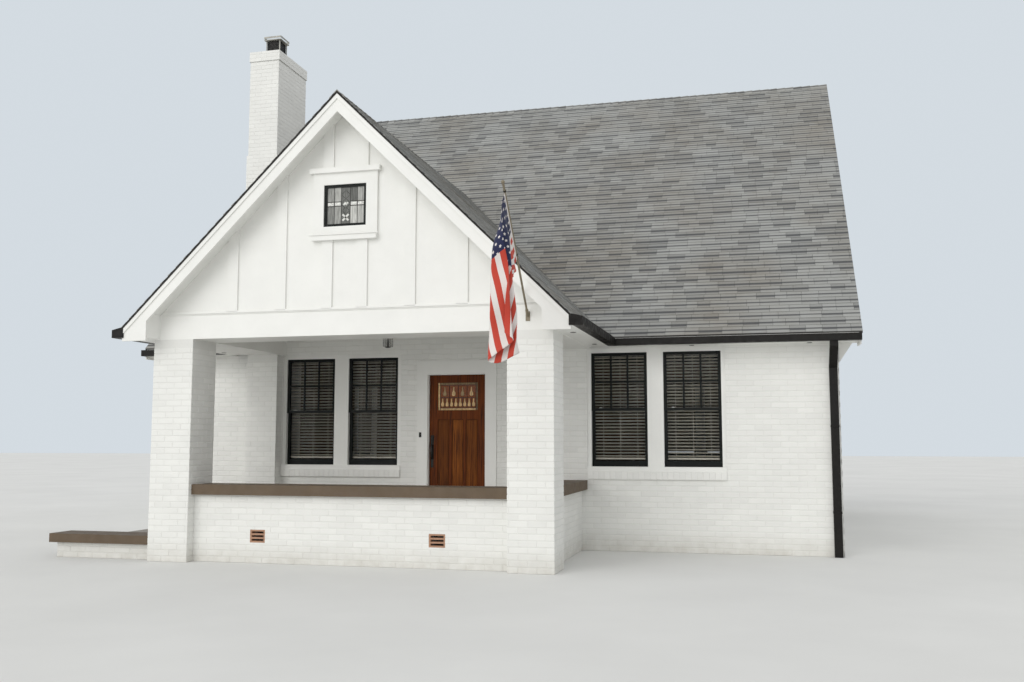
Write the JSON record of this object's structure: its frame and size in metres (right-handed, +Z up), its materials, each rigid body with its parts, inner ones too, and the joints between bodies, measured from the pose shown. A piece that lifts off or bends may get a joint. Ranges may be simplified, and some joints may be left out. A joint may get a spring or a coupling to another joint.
{
  "type": "bungalow",
  "caption": "White brick bungalow with a steep side-gabled roof, a gabled front porch on square brick piers, an end chimney and a hinged front door.",
  "frame": {"origin": "on the ground, at the middle of the porch front wall", "axes": "+Z up, -Y out of the house front, +X to the right of someone who faces the house"},
  "size_m": [10.336, 14.2233, 9.02],
  "materials": {
    "brick": "painted matt",
    "coping": "painted matt",
    "concrete": "matt",
    "clay": "matt",
    "trim": "painted satin",
    "floor": "matt",
    "shingles": "granular matt",
    "gutter_metal": "satin",
    "sash": "painted satin",
    "glass": "clear",
    "blind": "satin",
    "door_wood": "varnished",
    "ironwork": "satin",
    "cap_metal": "weathered",
    "flag_cloth": "woven"
  },
  "bodies": {
    "house": {"left_pier": "brick", "right_pier": "brick", "porch_front_wall": "brick", "porch_side_wall": "brick", "wall_copings": "coping", "wall_vents": "clay", "porch_floor": "concrete", "entry_landing": "concrete", "cheek_wall": "brick", "porch_pilaster": "brick", "porch_beam": "trim", "side_beams": "trim", "porch_ceiling": "trim", "porch_light": "ironwork", "gable_wall": "trim", "gable_battens": "trim", "gable_window_casing": "trim", "gable_window_frame": "sash", "gable_window_glass": "glass", "bargeboards": "trim", "porch_roof": "shingles", "porch_eaves": "trim", "porch_gutters": "gutter_metal", "main_roof_front": "shingles", "main_roof_rear": "shingles", "rake_boards": "trim", "main_eaves": "trim", "main_gutters": "gutter_metal", "downspouts": "gutter_metal", "front_wall_left": "brick", "front_wall_right": "brick", "doorway_walls": "brick", "left_wall": "brick", "right_wall": "brick", "rear_wall": "brick", "house_floor": "floor", "window_frames": "trim", "window_sashes": "sash", "window_glass": "glass", "window_blinds": "blind", "window_sills": "brick", "door_frame": "trim", "chimney": "brick", "chimney_cap": "cap_metal", "flag_pole": "ironwork", "flag": "flag_cloth"},
    "door": {"front_door": "door_wood", "door_glass": "glass", "door_handle": "ironwork"}
  },
  "joints": [
    {"name": "front_door_hinge", "type": "hinge", "parent": "house", "child": "door", "pos_m": [1.059, 2.352, 1.4], "axis": [0, 0, 1], "range_deg": [-90, 0]}
  ]
}
